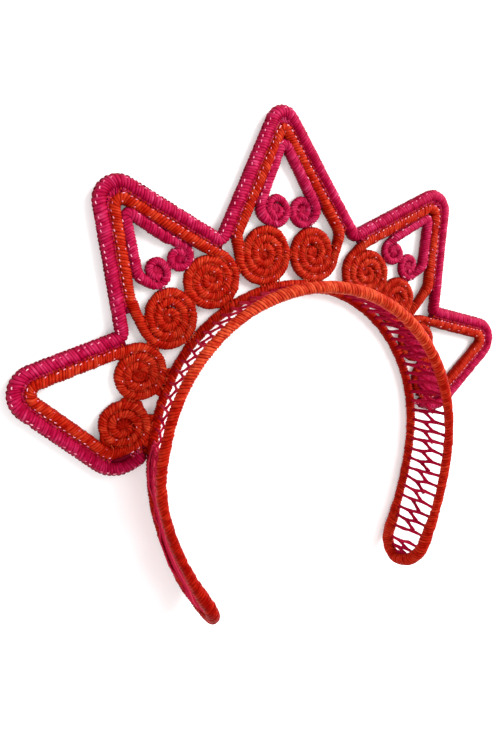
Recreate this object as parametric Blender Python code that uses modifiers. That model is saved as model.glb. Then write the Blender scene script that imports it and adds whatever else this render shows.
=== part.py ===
"""A headband tiara wound from straw-wrapped cords: a netted band, five spikes and ten spirals.

It lies on its back. +X runs across the head from leg to leg, +Y points along the middle spike, and +Z goes
from the far edge of the band, which lies in the plane of the spikes, to its near edge.
"""
import math
from collections import namedtuple

import bmesh
import bpy
import numpy as np

# The band: two edges, one above the other, on one closed cord. Each is a half ellipse with two legs. A leg
# leans in towards its end, the more sharply the higher its curve, and it may bow out below the height where
# bows start.
Leg = namedtuple("Leg", "lean curve bow")
Edge = namedtuple("Edge", "half_width left right")
FAR_EDGE = Edge(half_width=0.0680, left=Leg(0.0105, 1.86, 0.0016), right=Leg(0.0129, 1.80, 0.0))
NEAR_EDGE = Edge(half_width=0.0713, left=Leg(0.0159, 1.59, 0.0016), right=Leg(0.0129, 1.80, 0.0))
BOW_START = -0.0540
ARCH_RISE = 0.0720
BAND_WIDTH = 0.0240
LEG_LENGTH = 0.0540
LEG_END_RADIUS = 0.0120
RIM_RADIUS = 0.00195

# The net between the two edges.
NET_ROWS = 54
NET_THREAD = 0.0011
NET_THICKNESS = 0.0010
NET_BENDS = (0.38, 0.62)
NET_BEND_SHIFTS = (0.05, -0.15)
NET_END_ROWS = 2
NET_END_REACH = 0.80
PIECE_GAP = 0.0003

# The cords of the spikes, from the outside in, with the stitched seam between two of them.
OUTER_RADIUS = 0.0025
SCROLL_RADIUS = 0.0021
INNER_RADIUS = 0.0020
SEAM = 0.0005

# The spirals: each cord thins as it leaves its spike. It is wound in rings, each of which is steady for a share
# of its turn and then steps in to the next, and at the eye the cord thins again and curls in.
Coil = namedtuple("Coil", "cord_radius pitch steady eye eye_turn end_reach end_radius")
LARGE_COIL = Coil(cord_radius=0.0016, pitch=0.00365, steady=0.56, eye=0.0016, eye_turn=0.36, end_reach=0.0010,
                  end_radius=0.0010)
SMALL_COIL = Coil(cord_radius=0.0014, pitch=0.0032, steady=0.40, eye=0.0011, eye_turn=0.18, end_reach=0.0008,
                  end_radius=0.0009)
STEP_TURN = 0.40
THINNING_LENGTH = 0.0120
KNEE_BEND = 0.0060

# How tightly the cords inside each spike bend at its tip; the middle spike is the sharpest.
SCROLL_TIP_BENDS = (0.0042, 0.0035, 0.0023, 0.0035, 0.0038)
INNER_TIP_BENDS = (0.0025, 0.0025, 0.0021, 0.0025, 0.0025)

# How finely the cords are divided.
CORD_SIDES = 8
SCROLL_SIDES = 6
FACET_TILT = {CORD_SIDES: math.pi / CORD_SIDES, SCROLL_SIDES: 0.0}
CORNER_STEP = math.radians(20)
SPIRAL_STEPS = 11
ARCH_SEGMENTS = 26
LEG_SEGMENTS = 5
LEG_END_SEGMENTS = 8

# The corners of the outer cord's middle line, with the radius that each is bent to.
Corner = namedtuple("Corner", "name x y bend")
ZIGZAG = (
    Corner("left_end", -0.0737, -0.0662, 0.0),
    Corner("left_hem", -0.0851, -0.0713, 0.0120),
    Corner("tip_1", -0.1278, -0.0310, 0.0090),
    Corner("valley_1", -0.0775, -0.0163, 0.0025),
    Corner("tip_2", -0.0845, 0.0485, 0.0075),
    Corner("valley_2", -0.0343, 0.0193, 0.0025),
    Corner("tip_3", -0.0048, 0.0770, 0.0055),
    Corner("valley_3", 0.0318, 0.0208, 0.0020),
    Corner("tip_4", 0.0862, 0.0436, 0.0075),
    Corner("valley_4", 0.0803, -0.0165, 0.0020),
    Corner("tip_5", 0.1278, -0.0288, 0.0088),
    Corner("right_hem", 0.0846, -0.0656, 0.0120),
    Corner("right_end", 0.0714, -0.0611, 0.0),
)

# A spiral has its centre, the radius at which the cord enters it, and the knee: how far from the valley the
# cord leaves the spike's side to reach it.
Spiral = namedtuple("Spiral", "x y reach knee")
Spike = namedtuple("Spike", "left right small_left small_right")
SPIKES = (
    Spike(
        left=Spiral(-0.0793, -0.0530, 0.0094, 0.007),
        right=Spiral(-0.0717, -0.0309, 0.0098, 0.006),
        small_left=None,
        small_right=None,
    ),
    Spike(
        left=Spiral(-0.0585, -0.0105, 0.0108, 0.014),
        right=Spiral(-0.0388, 0.0047, 0.0109, 0.006),
        small_left=Spiral(-0.0625, 0.0076, 0.0048, 0.022),
        small_right=Spiral(-0.0520, 0.0141, 0.0045, 0.022),
    ),
    Spike(
        left=Spiral(-0.0146, 0.0138, 0.0112, 0.006),
        right=Spiral(0.0112, 0.0134, 0.0106, 0.006),
        small_left=Spiral(-0.0080, 0.0319, 0.0054, 0.018),
        small_right=Spiral(0.0056, 0.0313, 0.0051, 0.018),
    ),
    Spike(
        left=Spiral(0.0389, 0.0046, 0.0109, 0.006),
        right=Spiral(0.0582, -0.0104, 0.0100, 0.012),
        small_left=Spiral(0.0550, 0.0138, 0.0047, 0.022),
        small_right=Spiral(0.0650, 0.0059, 0.0049, 0.022),
    ),
    Spike(
        left=Spiral(0.0709, -0.0291, 0.0097, 0.006),
        right=Spiral(0.0793, -0.0497, 0.0092, 0.012),
        small_left=None,
        small_right=None,
    ),
)

# Colour, roughness and metallic value of the two straws.
Finish = namedtuple("Finish", "colour roughness metallic")
FUCHSIA_STRAW = Finish((0.56, 0.012, 0.115, 1.0), 0.62, 0.0)
ORANGE_STRAW = Finish((0.56, 0.062, 0.012, 1.0), 0.62, 0.0)


def unit(vector):
    return vector / np.linalg.norm(vector)


def right_of(direction):
    return np.array((direction[1], -direction[0]))


def on_circle(centre, radius, angle):
    return centre + radius * np.array((math.cos(angle), math.sin(angle)))


def lines_meet(point_a, along_a, point_b, along_b):
    """The crossing of two lines, each through a point and along a direction."""
    across = np.cross(along_a, along_b)
    return point_a + along_a * np.cross(point_b - point_a, along_b) / across


def rounded(corners):
    """Points along straight sides whose corners, given with their bend radius, are arcs."""
    points = []
    for index, (corner, bend) in enumerate(corners):
        if index in (0, len(corners) - 1) or bend == 0.0:
            points.append(corner)
            continue
        back = unit(corners[index - 1][0] - corner)
        ahead = unit(corners[index + 1][0] - corner)
        half_angle = math.acos(float(back @ ahead)) / 2
        centre = corner + unit(back + ahead) * bend / math.sin(half_angle)
        first = corner + back * bend / math.tan(half_angle) - centre
        last = corner + ahead * bend / math.tan(half_angle) - centre
        sweep = math.atan2(float(np.cross(first, last)), float(first @ last))
        start = math.atan2(first[1], first[0])
        count = max(1, math.ceil(abs(sweep) / CORNER_STEP))
        points += [on_circle(centre, bend, start + sweep * k / count) for k in range(count + 1)]
    return points


def ring_reach(reach, turns, coil):
    """How far the cord is from its spiral's centre after some turns."""
    rings = math.floor(turns)
    step = min(1.0, max(0.0, turns - rings - coil.steady) / STEP_TURN)
    return reach - coil.pitch * (rings + step)


def spiral_cord(spiral, knee, turn, coil):
    """A spiral's points and the cord's radius at each, from its outer ring to its eye.

    The cord comes straight from the knee. Turn is 1 where it is wound counter-clockwise, or else -1.
    """
    centre = np.array((spiral.x, spiral.y))
    away = knee - centre
    entry = math.acos(spiral.reach / float(np.linalg.norm(away)))
    start = math.atan2(away[1], away[0]) + turn * entry
    wound = (spiral.reach - coil.eye) / coil.pitch
    last_reach = ring_reach(spiral.reach, wound, coil)
    points = []
    radii = []
    reach = spiral.reach
    while reach > coil.end_reach:
        turns = len(points) / SPIRAL_STEPS
        reach = ring_reach(spiral.reach, turns, coil)
        share = min(1.0, max(0.0, turns - wound) / coil.eye_turn)
        if share > 0.0:
            reach = min(reach, last_reach + (coil.end_reach - last_reach) * share)
        reach = max(reach, coil.end_reach)
        points.append(on_circle(centre, reach, start + turn * math.tau * turns))
        radii.append(coil.cord_radius + (coil.end_radius - coil.cord_radius) * share)
    return points, radii


def scroll_route(spike, inset, left, right, coil, side_radius, tip_bend):
    """The middle line of a cord inside a spike, from eye to eye, and the cord's radius at each of its points.

    Inset is its distance inside the outer cord's middle line.
    """
    base_left, tip, base_right = (np.array((c.x, c.y)) for c in ZIGZAG[2 * spike + 1:2 * spike + 4])
    up = unit(tip - base_left)
    down = unit(base_right - tip)
    inner_left = base_left + right_of(up) * inset
    inner_right = base_right + right_of(down) * inset
    inner_tip = lines_meet(inner_left, up, inner_right, down)
    left_knee = inner_left + up * left.knee
    right_knee = inner_right - down * right.knee
    left_points, left_radii = spiral_cord(left, left_knee, 1, coil)
    right_points, right_radii = spiral_cord(right, right_knee, -1, coil)
    sides = rounded([
        (left_points[0], 0.0),
        (left_knee, KNEE_BEND),
        (inner_tip, tip_bend),
        (right_knee, KNEE_BEND),
        (right_points[0], 0.0),
    ])
    side_radii = []
    for point in sides:
        to_spiral = min(np.linalg.norm(point - sides[0]), np.linalg.norm(point - sides[-1]))
        share = min(1.0, to_spiral / THINNING_LENGTH)
        side_radii.append(coil.cord_radius + (side_radius - coil.cord_radius) * share)
    points = left_points[:0:-1] + sides + right_points[1:]
    return points, left_radii[:0:-1] + side_radii + right_radii[1:]


def flat_height(radius, sides):
    """How high above the ground the middle of a cord lies when one of its flats is on the ground."""
    return radius * math.cos(math.pi / sides)


def bow_at(y, leg):
    """How far a leg bows out at some height of the plan."""
    share = (BOW_START - y) / (BOW_START + ARCH_RISE + LEG_LENGTH)
    return leg.bow * math.sin(math.pi * min(1.0, max(0.0, share)))


def edge_half(half_width, leg):
    """Half of one edge of the band, as on the right, from its top to the start of the leg's round end."""
    points = []
    for k in range(ARCH_SEGMENTS // 2 + 1):
        angle = math.pi / 2 - math.pi * k / ARCH_SEGMENTS
        points.append((half_width * math.cos(angle), ARCH_RISE * (math.sin(angle) - 1)))
    for k in range(1, LEG_SEGMENTS + 1):
        share = k / LEG_SEGMENTS
        points.append((half_width - leg.lean * share ** leg.curve, -ARCH_RISE - LEG_LENGTH * share))
    return np.array([(x + bow_at(y, leg), y) for x, y in points])


def edge_line(edge, height):
    """One whole edge of the band in space, from the left leg to the right one."""
    right = edge_half(edge.half_width, edge.right)
    left = edge_half(edge.half_width, edge.left)[:0:-1] * (-1, 1)
    plan = np.vstack((left, right))
    return np.column_stack((plan, np.full(len(plan), height)))


def leg_end(first, last, outward):
    """Where a leg ends, the rim goes round from one edge to the other; outward is the leg's direction."""
    centre = (first + last) / 2
    points = []
    for k in range(1, LEG_END_SEGMENTS):
        angle = math.pi * k / LEG_END_SEGMENTS
        points.append(centre + (first - centre) * math.cos(angle) + outward * LEG_END_RADIUS * math.sin(angle))
    return points


def leg_direction(far, near, end):
    """The way a leg points where its round end starts; end is 0 for the left leg and -1 for the right one."""
    before = 1 if end == 0 else -2
    return unit(far[end] - far[before] + near[end] - near[before])


def rim_heights():
    low = flat_height(RIM_RADIUS, CORD_SIDES)
    return low, low + BAND_WIDTH


def along_line(points, shares):
    """Points at the given shares of a line's length."""
    steps = np.linalg.norm(np.diff(points, axis=0), axis=1)
    travelled = np.concatenate(((0.0,), np.cumsum(steps)))
    wanted = np.asarray(shares) * travelled[-1]
    return np.column_stack([np.interp(wanted, travelled, points[:, axis]) for axis in range(3)])


def straw(name, finish):
    material = bpy.data.materials.new(name)
    material.use_nodes = True
    shader = material.node_tree.nodes["Principled BSDF"]
    shader.inputs["Base Color"].default_value = finish.colour
    shader.inputs["Roughness"].default_value = finish.roughness
    shader.inputs["Metallic"].default_value = finish.metallic
    return material


def cord(name, points, radii, sides, finish, closed=False):
    """A cord as a tube with flat facets above and below, thick as the radii say."""
    curve = bpy.data.curves.new(name, "CURVE")
    curve.dimensions = "3D"
    curve.twist_mode = "Z_UP"
    curve.bevel_depth = max(radii)
    curve.bevel_resolution = (sides - 4) // 2
    curve.use_fill_caps = not closed
    spline = curve.splines.new("POLY")
    spline.points.add(len(points) - 1)
    for target, point, radius in zip(spline.points, points, radii):
        target.co = (*point, 1.0)
        target.radius = radius / max(radii)
        target.tilt = FACET_TILT[sides]
    spline.use_cyclic_u = closed
    curve.materials.append(straw(name + "_straw", finish))
    return bpy.data.objects.new(name, curve)


def make_rim():
    low, high = rim_heights()
    far = edge_line(FAR_EDGE, low)
    near = edge_line(NEAR_EDGE, high)
    right_end = leg_end(far[-1], near[-1], leg_direction(far, near, -1))
    left_end = leg_end(near[0], far[0], leg_direction(far, near, 0))
    points = [*far, *right_end, *near[::-1], *left_end]
    return cord("band_rim", points, [RIM_RADIUS] * len(points), CORD_SIDES, ORANGE_STRAW, closed=True)


def make_zigzag():
    plan = rounded([(np.array((c.x, c.y)), c.bend) for c in ZIGZAG])
    height = flat_height(OUTER_RADIUS, CORD_SIDES)
    points = [(x, y, height) for x, y in plan]
    return cord("zigzag_outer_cord", points, [OUTER_RADIUS] * len(points), CORD_SIDES, FUCHSIA_STRAW)


def make_scroll(name, plan, radii, finish):
    points = [(x, y, flat_height(radius, SCROLL_SIDES)) for (x, y), radius in zip(plan, radii)]
    return cord(name, points, radii, SCROLL_SIDES, finish)


def make_scrolls():
    objects = []
    scroll_inset = OUTER_RADIUS + SEAM + SCROLL_RADIUS
    inner_inset = scroll_inset + SCROLL_RADIUS + SEAM + INNER_RADIUS
    for index, spike in enumerate(SPIKES):
        route = scroll_route(index, scroll_inset, spike.left, spike.right, LARGE_COIL, SCROLL_RADIUS,
                             SCROLL_TIP_BENDS[index])
        objects.append(make_scroll(f"scroll_cord_{index + 1}", *route, ORANGE_STRAW))
        if spike.small_left is None:
            continue
        route = scroll_route(index, inner_inset, spike.small_left, spike.small_right, SMALL_COIL, INNER_RADIUS,
                             INNER_TIP_BENDS[index])
        objects.append(make_scroll(f"inner_scroll_cord_{index + 1}", *route, FUCHSIA_STRAW))
    return objects


def net_grid():
    """Points of the net by row and by place across the band: rim, two bends of the thread, rim.

    The middle rows span the band between its edges; the last rows narrow into the legs' round ends.
    """
    low, high = rim_heights()
    edge = (RIM_RADIUS + PIECE_GAP) / BAND_WIDTH
    shares, row = np.linspace(0.0, 1.0, NET_ROWS - 2 * NET_END_ROWS + 1, retstep=True)
    far = edge_line(FAR_EDGE, low)
    near = edge_line(NEAR_EDGE, high)
    columns = []
    for place, shift in zip((edge, *NET_BENDS, 1 - edge), (0.0, *NET_BEND_SHIFTS, 0.0)):
        on_far = along_line(far, shares + shift * row)
        on_near = along_line(near, shares + shift * row)
        columns.append(on_far + (on_near - on_far) * place)
    rows = list(np.stack(columns, axis=1))
    inner_radius = LEG_END_RADIUS - RIM_RADIUS - PIECE_GAP
    for end in (0, -1):
        centre = (far[end] + near[end]) / 2
        across = (near[end] - far[end]) / 2
        for k in range(1, NET_END_ROWS + 1):
            depth = inner_radius * NET_END_REACH * k / NET_END_ROWS
            half = math.sqrt(inner_radius ** 2 - depth ** 2) / LEG_END_RADIUS
            middle = centre + leg_direction(far, near, end) * depth
            row = np.array([middle + across * half * (2 * t - 1) for t in (0.0, *NET_BENDS, 1.0)])
            rows = rows + [row] if end == -1 else [row] + rows
    return rows


def make_net():
    """A strip cut through between its threads: each row has two gaps, parted by a slanting thread."""
    mesh_data = bmesh.new()
    rows = [[mesh_data.verts.new(point) for point in row] for row in net_grid()]
    for (rim_a, bend_a, turn_a, edge_a), (rim_b, bend_b, turn_b, edge_b) in zip(rows, rows[1:]):
        mesh_data.faces.new((rim_b, bend_b, turn_b, bend_a, rim_a))
        mesh_data.faces.new((turn_b, edge_b, edge_a, turn_a, bend_a))
    mesh_data.normal_update()
    gaps = list(mesh_data.faces)
    bmesh.ops.inset_individual(mesh_data, faces=gaps, thickness=NET_THREAD / 2, use_even_offset=True)
    bmesh.ops.delete(mesh_data, geom=gaps, context="FACES")
    mesh = bpy.data.meshes.new("band_net")
    mesh_data.to_mesh(mesh)
    mesh_data.free()
    mesh.materials.append(straw("band_net_straw", FUCHSIA_STRAW))
    net = bpy.data.objects.new("band_net", mesh)
    solidify = net.modifiers.new("thickness", "SOLIDIFY")
    solidify.thickness = NET_THICKNESS
    solidify.offset = 0.0
    return net


def plan_centre(objects):
    """The middle of all the objects together, seen from above."""
    depsgraph = bpy.context.evaluated_depsgraph_get()
    corners = []
    for thing in objects:
        evaluated = thing.evaluated_get(depsgraph)
        mesh = evaluated.to_mesh()
        places = [vertex.co.xy for vertex in mesh.vertices]
        corners += [np.min(places, axis=0), np.max(places, axis=0)]
        evaluated.to_mesh_clear()
    return (np.min(corners, axis=0) + np.max(corners, axis=0)) / 2


def main():
    for thing in list(bpy.data.objects):
        bpy.data.objects.remove(thing)
    collection = bpy.data.collections.new("straw_tiara")
    bpy.context.scene.collection.children.link(collection)
    tiara = bpy.data.objects.new("tiara", None)
    collection.objects.link(tiara)
    pieces = [make_rim(), make_net(), make_zigzag(), *make_scrolls()]
    for piece in pieces:
        collection.objects.link(piece)
        piece.parent = tiara
    centre = plan_centre(pieces)
    tiara.location = (-centre[0], -centre[1], 0.0)


main()
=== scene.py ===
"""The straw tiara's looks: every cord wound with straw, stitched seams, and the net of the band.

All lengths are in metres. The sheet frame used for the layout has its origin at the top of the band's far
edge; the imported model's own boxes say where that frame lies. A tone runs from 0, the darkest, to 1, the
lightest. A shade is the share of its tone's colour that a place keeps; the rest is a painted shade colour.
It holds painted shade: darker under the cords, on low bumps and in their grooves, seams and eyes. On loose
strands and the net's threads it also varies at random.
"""
from collections import namedtuple
from math import acos, atan2, ceil, cos, floor, inf, pi, radians, sin, sqrt, tan, tau

import bpy
import numpy as np
from mathutils import Matrix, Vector
from numpy.linalg import norm

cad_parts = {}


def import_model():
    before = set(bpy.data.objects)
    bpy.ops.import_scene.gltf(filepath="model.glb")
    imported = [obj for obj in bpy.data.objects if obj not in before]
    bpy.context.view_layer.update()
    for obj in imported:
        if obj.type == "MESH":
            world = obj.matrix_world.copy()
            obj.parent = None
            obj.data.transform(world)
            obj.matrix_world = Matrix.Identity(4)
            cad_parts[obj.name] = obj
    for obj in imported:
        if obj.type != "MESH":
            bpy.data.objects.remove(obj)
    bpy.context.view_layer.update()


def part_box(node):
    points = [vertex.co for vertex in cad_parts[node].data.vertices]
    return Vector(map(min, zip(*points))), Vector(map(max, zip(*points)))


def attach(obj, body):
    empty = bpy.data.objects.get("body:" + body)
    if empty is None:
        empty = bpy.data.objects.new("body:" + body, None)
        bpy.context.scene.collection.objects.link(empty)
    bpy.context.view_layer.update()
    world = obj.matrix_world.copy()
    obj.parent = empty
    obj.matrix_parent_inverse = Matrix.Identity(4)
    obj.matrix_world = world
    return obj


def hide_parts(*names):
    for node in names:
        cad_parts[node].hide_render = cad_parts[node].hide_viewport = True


# The band: two edges on one closed cord. Each is a half ellipse with two legs. A leg leans in towards its
# end, the more sharply the higher its curve, and may bow out below a height.
Leg = namedtuple("Leg", "lean curve bow")
Edge = namedtuple("Edge", "half_width left right")
FAR_EDGE = Edge(0.0680, Leg(0.0105, 1.86, 0.0016), Leg(0.0129, 1.80, 0.0))
NEAR_EDGE = Edge(0.0713, Leg(0.0159, 1.59, 0.0016), Leg(0.0129, 1.80, 0.0))
BOW_START = -0.0540
ARCH_RISE = 0.0720
BAND_WIDTH = 0.0240
LEG_LENGTH = 0.0540
LEG_END_RADIUS = 0.0126
RIM_RADIUS = 0.00195

# The cords of the spikes, from the outside in, with the stitched seam between two of them.
OUTER_RADIUS = 0.0025
SCROLL_RADIUS = 0.0021
INNER_RADIUS = 0.0020
SEAM = 0.0005

# The large cords are thicker along the spikes' sides. The inner cords lie a little further in than their
# solids, because the straw makes them thicker.
SIDE_SWELL = 0.00015
INNER_SHIFT = 0.0002

# The spirals. A cord thins as it leaves its spike. Each ring is steady for a share of its turn and then steps
# in to the next, and at the eye the cord thins again and curls in.
Coil = namedtuple("Coil", "cord_radius pitch steady eye eye_turn end_reach")
LARGE_COIL = Coil(0.0016, 0.00365, 0.64, 0.0016, 0.36, 0.0010)
SMALL_COIL = Coil(0.0013, 0.0032, 0.58, 0.0011, 0.18, 0.0008)
COIL_END_RADIUS = 0.0010
STEP_TURN = 0.32
THINNING_LENGTH = 0.0040
KNEE_BEND = 0.0060

# How finely the routes are divided.
CORNER_STEP = radians(5)
SPIRAL_STEPS = 48
ARCH_SEGMENTS = 120
LEG_SEGMENTS = 20
LEG_END_SEGMENTS = 30
ROUTE_STEP = 0.0005

# The corners of the outer cord's middle line, each with its bend: the left end and hem, each spike's tip and
# the valley after it, and the right hem and end.
Corner = namedtuple("Corner", "x y bend")
ZIGZAG = (
    Corner(-0.0716, -0.0653, 0.0),
    Corner(-0.0851, -0.0713, 0.0120),
    Corner(-0.1278, -0.0310, 0.0090),
    Corner(-0.0775, -0.0163, 0.0025),
    Corner(-0.0845, 0.0485, 0.0075),
    Corner(-0.0343, 0.0193, 0.0025),
    Corner(-0.0048, 0.0770, 0.0055),
    Corner(0.0318, 0.0208, 0.0020),
    Corner(0.0862, 0.0436, 0.0075),
    Corner(0.0803, -0.0165, 0.0020),
    Corner(0.1278, -0.0288, 0.0088),
    Corner(0.0846, -0.0656, 0.0120),
    Corner(0.0714, -0.0611, 0.0),
)
TIPS = ZIGZAG[2:-1:2]

# A spiral has its centre, the radius at which the cord enters it, and the knee: how far from the valley the
# cord leaves the spike's side to reach it. A cord inside a spike has two spirals and its bend at the tip. The
# middle three spikes also have an inner cord, whose tip is lifted towards the spike's.
Spiral = namedtuple("Spiral", "x y reach knee")
Scroll = namedtuple("Scroll", "left right bend lift", defaults=[0.0])
SPIKES = (
    (Scroll(Spiral(-0.0793, -0.0530, 0.0094, 0.007), Spiral(-0.0717, -0.0309, 0.0098, 0.006), 0.0042),),
    (Scroll(Spiral(-0.0585, -0.0105, 0.0108, 0.014), Spiral(-0.0388, 0.0047, 0.0109, 0.006), 0.0035),
     Scroll(Spiral(-0.0625, 0.0076, 0.0048, 0.022), Spiral(-0.0520, 0.0141, 0.0045, 0.022), 0.0017, 0.0026)),
    (Scroll(Spiral(-0.0146, 0.0138, 0.0112, 0.006), Spiral(0.0112, 0.0134, 0.0106, 0.006), 0.0018),
     Scroll(Spiral(-0.0080, 0.0319, 0.0054, 0.018), Spiral(0.0056, 0.0313, 0.0051, 0.018), 0.0022, 0.0042)),
    (Scroll(Spiral(0.0389, 0.0046, 0.0109, 0.006), Spiral(0.0582, -0.0104, 0.0100, 0.012), 0.0035),
     Scroll(Spiral(0.0550, 0.0138, 0.0047, 0.022), Spiral(0.0650, 0.0059, 0.0049, 0.022), 0.0017, 0.0020)),
    (Scroll(Spiral(0.0709, -0.0291, 0.0097, 0.006), Spiral(0.0793, -0.0497, 0.0092, 0.012), 0.0038),),
)

# How straw is wound on a cord: how much thicker it makes the cord, the width of a turn, the groove between
# two turns, their slant, how much deeper the groove between two lumps is, a lump's height, and the sides.
Winding = namedtuple("Winding", "swell pitch groove slant deep_groove lump sides")
OUTER_WINDING = Winding(0.00028, 0.00118, 0.00022, 0.0008, 0.00010, 0.00010, 22)
SCROLL_WINDING = Winding(0.00034, 0.00112, 0.00022, -0.0008, 0.00012, 0.00012, 20)
INNER_WINDING = Winding(0.00044, 0.00108, 0.00020, 0.0008, 0.00012, 0.00010, 20)
RIM_WINDING = Winding(0.00015, 0.00130, 0.00024, 0.0011, 0.00016, 0.00014, 22)
FULLNESS = 0.02

# One or two turns lie together as a lump. A turn's section has four places over its width, with the height at
# each in groove depths. Turns vary in width and height, and lumps in height.
LUMP_SIZES = (1, 2)
TURN_PHASES = (0.0, 0.25, 0.5, 0.75)
TURN_HEIGHTS = (-1.0, -0.15, 0.0, -0.15)
WIDTH_SPREAD = 0.3
HEIGHT_SPREAD = 0.00004
LUMP_SPREAD = 0.5
LUMP_DROP = 0.6

# Small bumps in patches all over the straw, where its ends and folds stand out.
BUMP_HEIGHT = 0.00011
PATCH_LENGTH = 0.0010
PATCH_SECTORS = 12

# Where each leg ends, and along the arch, the rim is thicker, because its cord is wrapped there twice; on the
# far edge only in the middle of the arch, and on the left only by a share.
LEG_END_SWELL = 0.00070
LEG_END_SWELL_LENGTH = 0.018
ARCH_SWELL = 0.00045
ARCH_SIDE = 0.045
FAR_SWELL_X = (0.012, 0.030)
LEFT_SWELL_SHARE = 0.3
NEAR_EDGE_Z = (0.4 * BAND_WIDTH, 0.6 * BAND_WIDTH)

# The rim's tones: brightest on top of the arch, with painted light, darker down the legs, and darker again on
# the far edge's sides and low on the left leg; on the far edge's right side this is painted shade.
RIM_PAINTED_LIGHT_TONE = 0.78
RIM_LEG_TONE = 0.36
RIM_PAINTED_LIGHT_REACH = 0.055
RIM_RIGHT_PAINTED_SHADE = 0.40
ARCH_START = (0.0, 0.3)
RIM_LEFT_DROP = 0.20
LOW_LEFT_DROP = 0.20

# Where the random draws start: for the cords inside the spikes, one after another, the net and the stitches.
FIRST_SCROLL_SEED = 10
NET_SEED = 41
STITCH_SEED = 7

# Painted shade: how dark the straw is painted under a cord, from its underside up to its top, in a groove
# and in a deep groove.
UNDERSIDE_PAINTED_SHADE = 0.30
TOPSIDE = (0.10, 0.88)
GROOVE_PAINTED_SHADE = 0.58
DEEP_GROOVE_PAINTED_SHADE = 0.30

# How the tone varies: from turn to turn, in patches, and with the painted shade, which darkens the tone too.
# The patches are partly tone that differs at random and partly painted shade, darker on low bumps; the bumps'
# shade is painted shade as well. The outer cord's inner side, along its seam with the scroll cords, is darker
# with painted shade, and the round ends of the cords are darker.
TURN_TONE = 0.26
PATCH_TONE_AND_PAINTED_SHADE = 0.24
PAINTED_SHADE_TONE = 0.45
BUMP_PAINTED_SHADE = 0.22
INSIDE_PAINTED_SHADE = 0.26
INSIDE = (0.10, 0.55)
CORD_END_TONE = 0.3

# The straw's tones from its darkest to its lightest, with where the middle two stand between 0 and 1, and
# the share of the darkest one that makes the painted shade colour, which the deepest grooves take.
MIDDLE_TONE_PLACES = (0.35, 0.7)
FUCHSIA = ((0.21, 0.0002, 0.014), (0.32, 0.003, 0.035), (0.40, 0.015, 0.068), (0.54, 0.070, 0.17))
ORANGE = ((0.20, 0.0006, 0.0002), (0.32, 0.007, 0.002), (0.41, 0.026, 0.009), (0.56, 0.072, 0.026))
PALE_FUCHSIA = ((0.50, 0.05, 0.11), (0.66, 0.16, 0.26), (0.80, 0.32, 0.42), (0.90, 0.50, 0.56))
NET_FUCHSIA = ((0.22, 0.0004, 0.014), (0.32, 0.003, 0.026), (0.43, 0.011, 0.040), (0.60, 0.040, 0.080))
DARK_FUCHSIA = ((0.08, 0.001, 0.006), (0.14, 0.002, 0.012), (0.22, 0.004, 0.022), (0.34, 0.010, 0.040))
PAINTED_SHADE_SHARE = 0.7

# The straw's sheen, and its fibres: their scale along a cord, round it and from cord to cord.
FUCHSIA_SHEEN = (1.0, 0.25, 0.45)
ORANGE_SHEEN = (1.0, 0.35, 0.15)
SHEEN_LEVEL = 0.05
STRAW_ROUGHNESS = 0.42
NET_ROUGHNESS = 0.8
FIBRE_SCALES = (9000.0, 900.0, 100.0)
FIBRE_DETAIL = 3.0
FIBRE_TONE = 0.6
FIBRE_BUMP = 0.35
FIBRE_HEIGHT = 0.0001

# How far apart cords, strands and their rings lie in the pattern of fibres.
CORD_PLACE_STEP = 0.01
STRAND_PLACE_STEP = 0.0001
RING_PLACE_STEP = 0.0005

# A row of stitches along a cord: the angle is where it lies round the cord, and the share is of those sewn.
Row = namedtuple("Row", "pitch length radius angle share")
EDGE_ROW = Row(0.0025, 0.0008, 0.00021, radians(126), 0.8)
CHAIN_ROW = Row(0.0016, 0.0013, 0.00030, radians(172), 0.95)
SEAM_ROW = Row(0.0023, 0.0008, 0.00020, radians(126), 0.85)
INNER_SEAM_ROW = Row(0.0032, 0.0009, 0.00022, radians(126), 0.55)
# Painted highlights: a sparse row of pale stitches over the large cords stands in for glints.
PAINTED_HIGHLIGHT_ROW = Row(0.0066, 0.0005, 0.00018, radians(58), 0.6)
SEAM_REACH = 0.0008
EDGE_ROW_STOP = 0.074

# One stitch: its points along it, round the cord and above its surface, and how much it varies.
STITCH_PLACES = np.array((-0.5, -0.3, 0.0, 0.3, 0.5))
STITCH_TURNS = np.array((-0.05, -0.03, 0.0, 0.03, 0.05))
STITCH_LIFTS = np.array((-1.1, -0.1, 0.2, -0.1, -1.1))
STITCH_SIDES = 5
STITCH_SHIFT = 0.12
STITCH_LEAN = 0.12
STITCH_LENGTHS = (0.8, 1.2)
STITCH_TONES = (0.2, 0.9)

# The stitches that tie two cords together: how far apart they are, how they come out of the cords, how high
# they lie, and the gap that they still span.
TIE_PITCH = 0.0011
TIE_SHIFT = 0.25
TIE_RADIUS = 0.00036
TIE_ANGLE = radians(34)
TIE_SLANT = 0.0006
TIE_DEPTH = 0.52
TIE_LIFT = 0.4
TIE_REACH = 0.0007
TIP_REACH = 0.0022
TIP_NEAR = 0.016
OWN_TURN = 0.006
TIE_TONES = (0.1, 0.9)
# Painted shade on stitches down in a seam: on each tie, darker on the orange ties from the scroll cords to
# the outer cord, on ties between a spiral's turns and on the knots.
TIE_PAINTED_SHADE = 0.8
DARK_PAINTED_SHADE = 0.6
STEEP = 0.8

# The strands that fill a seam where the cords part a little, darkened with painted shade.
FILL_PITCH = 0.0010
FILL_LEAST = 0.0001
FILL_OVERLAP = 0.0006
FILL_TONES = (0.2, 0.4)
FILL_PAINTED_SHADE = 0.7
HEM_FILL_REACH = 0.0018
TURN_FILL_REACH = 0.0022
RIM_FILL_REACH = 0.0026

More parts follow.
